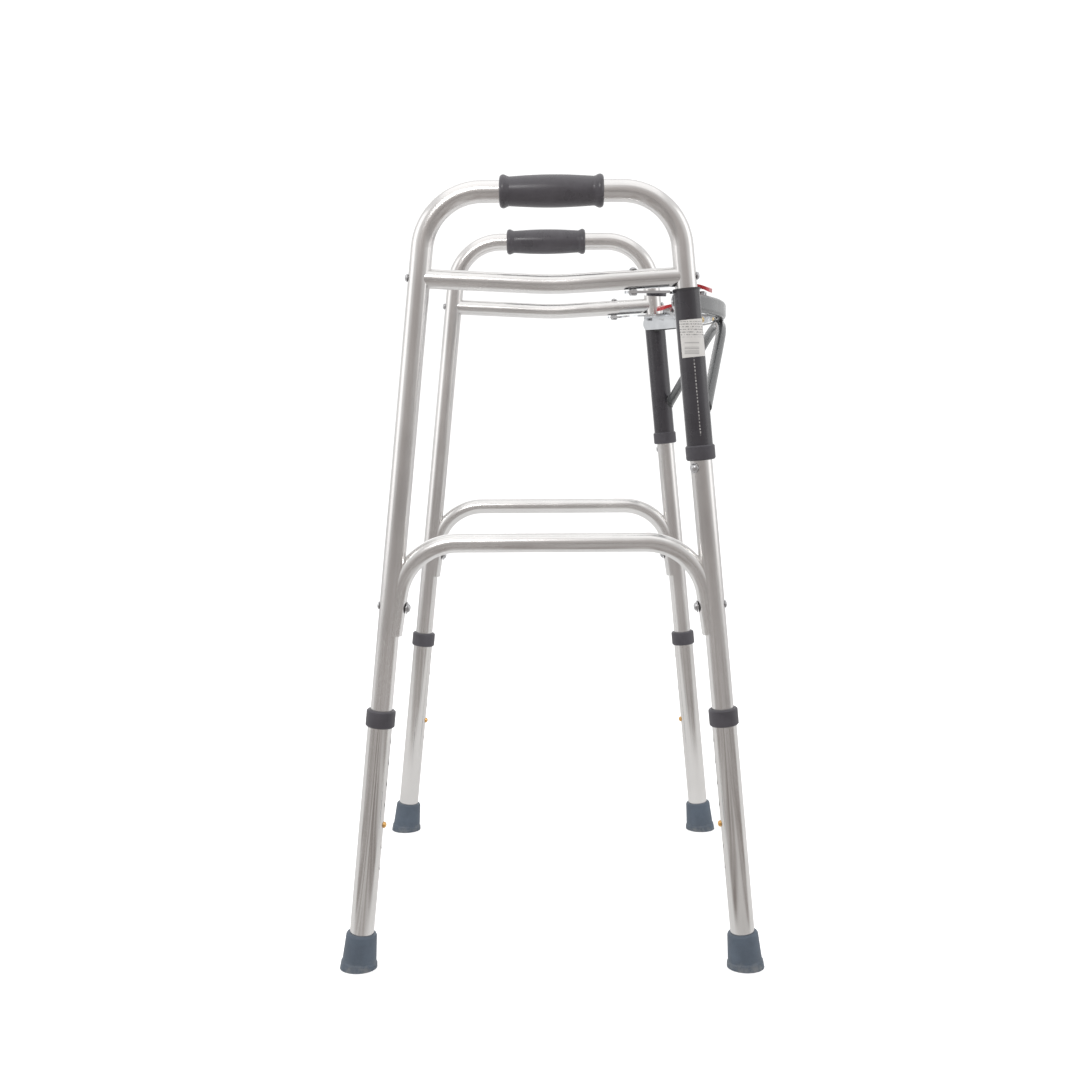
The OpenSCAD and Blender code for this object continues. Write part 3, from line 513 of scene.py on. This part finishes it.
def weld_bead(name, points, normal, body="cross_brace"):
    """A rippled bead that runs round the join."""
    path = resampled(outline(points, normal), BEAD_STEP)
    bm = bmesh.new()
    rings = []
    for k, p in enumerate(path):
        ahead = (path[(k + 1) % len(path)] - path[k - 1]).normalized()
        along_normal = abs(ahead.dot(normal)) > 0.95
        a = (ahead.orthogonal() if along_normal else ahead.cross(normal)).normalized()
        b = ahead.cross(a).normalized()
        r = BEAD_R * (1 + 0.13 * math.sin(k * 2.1) + 0.09 * math.sin(k * 0.53 + 1.7))
        turns = [math.tau * t / BEAD_SIDES for t in range(BEAD_SIDES)]
        rings.append([bm.verts.new(p + r * (math.cos(t) * a + math.sin(t) * b)) for t in turns])
    for k, ring in enumerate(rings):
        after = rings[(k + 1) % len(rings)]
        for t in range(BEAD_SIDES):
            u = (t + 1) % BEAD_SIDES
            bm.faces.new((ring[t], ring[u], after[u], after[t]))
    bead = new_object(name, bm)
    bead.data.materials.append(WELD_PAINT)
    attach(bead, body)


def make_welds():
    for side, sign in SIDES:
        off = off_sleeve(side)
        for node in ("arch_brace", "crossbar"):
            found = [p for p in points_of(node) if p.x * sign > 0.2 and abs(off(p)) < ON_SURFACE]
            if len(found) > FEWEST_POINTS:
                weld_bead(f"{side}_{node}_weld", found, Vector((sign, 0.0, 0.0)))
    middle_z = sum(c.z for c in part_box("crossbar")) / 2
    found = [p for p in points_of("arch_brace")
             if abs(p.x) < 0.12 and abs(off_crossbar(p, middle_z)) < ON_SURFACE]
    if len(found) > FEWEST_POINTS:
        weld_bead("arch_crossbar_weld", found, Vector((0.0, 0.0, 1.0)))


# ---- Socket-head screws in place of the plain CAD ones ----

ROUND = 36


def ring_of(bm, centre, axis, radius, z, hexagon=False):
    a = axis.orthogonal().normalized()
    b = axis.cross(a)
    verts = []
    for t in range(ROUND):
        angle = math.tau * t / ROUND
        r = radius
        if hexagon:
            r = radius / math.cos((angle + math.pi / 6) % (math.pi / 3) - math.pi / 6)
        verts.append(bm.verts.new(centre + z * axis + r * (math.cos(angle) * a + math.sin(angle) * b)))
    return verts


def lathe(bm, centre, axis, profile):
    """Turns (radius, z, hexagon) rows into a closed skin about an axis. Both ends close to a point."""
    rings = [ring_of(bm, centre, axis, *row) for row in profile]
    for low, high in zip(rings, rings[1:]):
        for t in range(ROUND):
            u = (t + 1) % ROUND
            bm.faces.new((low[t], low[u], high[u], high[t]))
    for ring, row in ((rings[0], profile[0]), (rings[-1], profile[-1])):
        tip = bm.verts.new(centre + row[1] * axis)
        for t in range(ROUND):
            bm.faces.new((ring[t], ring[(t + 1) % ROUND], tip))


def head_profile(r, h, socket=None):
    """A domed head of radius r and height h, with a hexagon socket if socket gives its half width."""
    edge = 0.22 * h
    rows = [(r - 0.3 * MM, 0, False), (r, 0.2 * MM, False), (r, edge, False)]
    rim = socket * 1.28 if socket else 0.15 * r
    for k in range(1, 9):
        x = r + (rim - r) * math.sin(math.pi / 2 * k / 8)
        y = edge + (h - edge) * math.sqrt(max(0.0, 1 - (x / r) ** 2)) / math.sqrt(1 - (rim / r) ** 2)
        rows.append((x, min(y, h), False))
    if socket:
        depth = min(0.62 * h, 2.0 * MM)
        rows += [(socket * 1.06, h - 0.12 * MM, True), (socket, h - 0.35 * MM, True),
                 (socket, h - depth, True)]
    return rows


def ends_of_bolt(node, keep):
    """The two ends of the bolt whose points keep() picks: along the line between its far points."""
    points = [p for p in points_of(node) if keep(p)]
    middle = sum(points, Vector()) / len(points)
    far = max(points, key=lambda p: (p - middle).length)
    for _ in range(3):
        along = (far - middle).normalized()
        reach = [(p - middle).dot(along) for p in points]
        tips = []
        for end in (min(reach), max(reach)):
            near = [p for p, x in zip(points, reach) if abs(x - end) < 0.15 * MM]
            tips.append(sum(near, Vector()) / len(near))
        middle, far = (tips[0] + tips[1]) / 2, tips[1]
    return tips


def screw_piece(name, node, body, bolts):
    """One piece with all the bolts of a node. Each bolt is a list of (foot, axis, profile)."""
    bm = bmesh.new()
    for foot, axis, profile in bolts:
        lathe(bm, foot, axis, profile)
    piece = new_object(name, bm)
    piece.data.set_sharp_from_angle(angle=math.radians(38))
    piece.data.materials.append(ZINC)
    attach(piece, body)
    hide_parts(node)


def shank(length):
    r, chamfer = 3.0 * MM, 0.3 * MM
    return [(r - chamfer, 0, False), (r, chamfer, False),
            (r, length - chamfer, False), (r - chamfer, length, False)]


SOCKET_HEAD_H = 3.2 * MM
DOME_HEAD_H = 2.5 * MM
WASHER_R = 7.0 * MM
WASHER_T = 1.2 * MM
WASHER_HOLE_R = 2.0 * MM


def washer_profile():
    rim = WASHER_R - 0.1 * MM
    return [(WASHER_HOLE_R, 0, False), (rim, 0, False), (WASHER_R, 0.15 * MM, False),
            (WASHER_R, WASHER_T - 0.15 * MM, False), (rim, WASHER_T, False), (WASHER_HOLE_R, WASHER_T, False)]


def make_screws():
    for side, _ in SIDES:
        body = f"{side}_side_frame"
        bolts = []
        for sign in (-1, 1):
            tips = ends_of_bolt(f"{side}_upper_brace_bolts", lambda p: p.y * sign > 0)
            head, tail = sorted(tips, key=lambda p: -p.y * sign)
            out = (head - tail).normalized()
            bolts.append((head - SOCKET_HEAD_H * out, out, head_profile(4.5 * MM, SOCKET_HEAD_H, 1.5 * MM)))
            bolts.append((tail, out, shank((head - tail).length - 3.0 * MM)))
        screw_piece(f"{side}_upper_brace_screws", f"{side}_upper_brace_bolts", body, bolts)
        bolts = []
        for sign in (-1, 1):
            tips = ends_of_bolt(f"{side}_lower_brace_bolts", lambda p: p.y * sign > 0)
            outer, inner = sorted(tips, key=lambda p: -p.y * sign)
            inwards = (inner - outer).normalized()
            under_head = inner - SOCKET_HEAD_H * inwards
            bolts.append((under_head - WASHER_T * inwards, inwards, washer_profile()))
            bolts.append((under_head, inwards, head_profile(5.0 * MM, SOCKET_HEAD_H, 1.6 * MM)))
            bolts.append((outer + DOME_HEAD_H * inwards, -inwards, head_profile(4.5 * MM, DOME_HEAD_H)))
            bolts.append((outer + 1.0 * MM * inwards, inwards, shank((inner - outer).length - 4.0 * MM)))
        screw_piece(f"{side}_lower_brace_screws", f"{side}_lower_brace_bolts", body, bolts)


# ---- Button springs, as hairpin strips in place of the CAD ones ----

SPRING_T = 0.8 * MM


def hairpin(near, far, low, high):
    """The strip's middle line from the near arm's top round to the far arm's. Each row is its place
    (outwards, up) and then its normal (outwards, up)."""
    mid, r = (near + far) / 2, (near - far) / 2 - SPRING_T / 2
    centre = low + (near - far) / 2
    rows = [(mid + r, high + (centre - high) * k / 16, 1, 0) for k in range(16)]
    for k in range(19):
        a = math.pi * k / 18
        rows.append((mid + r * math.cos(a), centre - r * math.sin(a), math.cos(a), -math.sin(a)))
    return rows + [(mid - r, centre + (high - centre) * k / 8, -1, 0) for k in range(1, 9)]


def make_button_springs():
    for side, _ in SIDES:
        for end in ENDS:
            name = f"{side}_{end}"
            foot = FEET[f"{name}_foot"]
            out = -Vector(JOINTS[f"{name}_button_press"]["axis"])
            up = Vector(JOINTS[f"{name}_leg_length"]["axis"])
            up = up if up.z > 0 else -up
            wide = up.cross(out)
            points = [p - foot for p in points_of(f"{name}_button_spring")]
            near, far = (f(p.dot(out) for p in points) for f in (max, min))
            low, high = (f(p.dot(up) for p in points) for f in (min, max))
            right, left = (f(p.dot(wide) for p in points) for f in (max, min))
            bm = bmesh.new()
            rings = []
            for y, z, ny, nz in hairpin(near, far, low, high):
                middle = foot + y * out + z * up
                normal = (ny * out + nz * up) * SPRING_T / 2
                rings.append([bm.verts.new(middle + sign * normal + x * wide)
                              for sign, x in ((1, left), (1, right), (-1, right), (-1, left))])
            for a, b in zip(rings, rings[1:]):
                for k in range(4):
                    bm.faces.new((a[k], a[(k + 1) % 4], b[(k + 1) % 4], b[k]))
            bm.faces.new(rings[0])
            bm.faces.new(rings[-1][::-1])
            strip = new_object(f"{name}_button_strip", bm)
            strip.data.set_sharp_from_angle(angle=math.radians(38))
            strip.data.materials.append(bpy.data.materials["spring_steel"])
            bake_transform(strip)
            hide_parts(f"{name}_button_spring")


# ---- The scene ----

make_camera()
floor = make_floor()
make_world()
area_light("overhead", (-0.3, 0.0, 2.6), (0.0, 0.0, 0.4), (2.6, 2.6), 9)
area_light("rear_side", (-0.5, 2.4, 1.4), (0.0, 0.0, 0.5), (1.6, 2.2), 7)
area_light("front_side", (-0.3, -2.4, 1.4), (0.0, 0.0, 0.5), (1.6, 2.2), 7)
area_light("behind", (2.4, 0.2, 1.3), (0.0, 0.0, 0.45), (2.4, 2.0), 8)
area_light("key", (-2.3, 0.62, 2.05), (0.0, 0.0, 0.6), (0.55, 0.55), 13)
floor.data.materials.append(floor_material())
dress_nodes()
WELD_PAINT = paint("weld_paint", (0.05, 0.05, 0.053), 0.3).material
ZINC = bpy.data.materials["zinc"]
make_welds()
make_screws()
make_button_springs()
bpy.context.scene.view_settings.view_transform = "Standard"
bpy.context.scene.view_settings.look = "None"
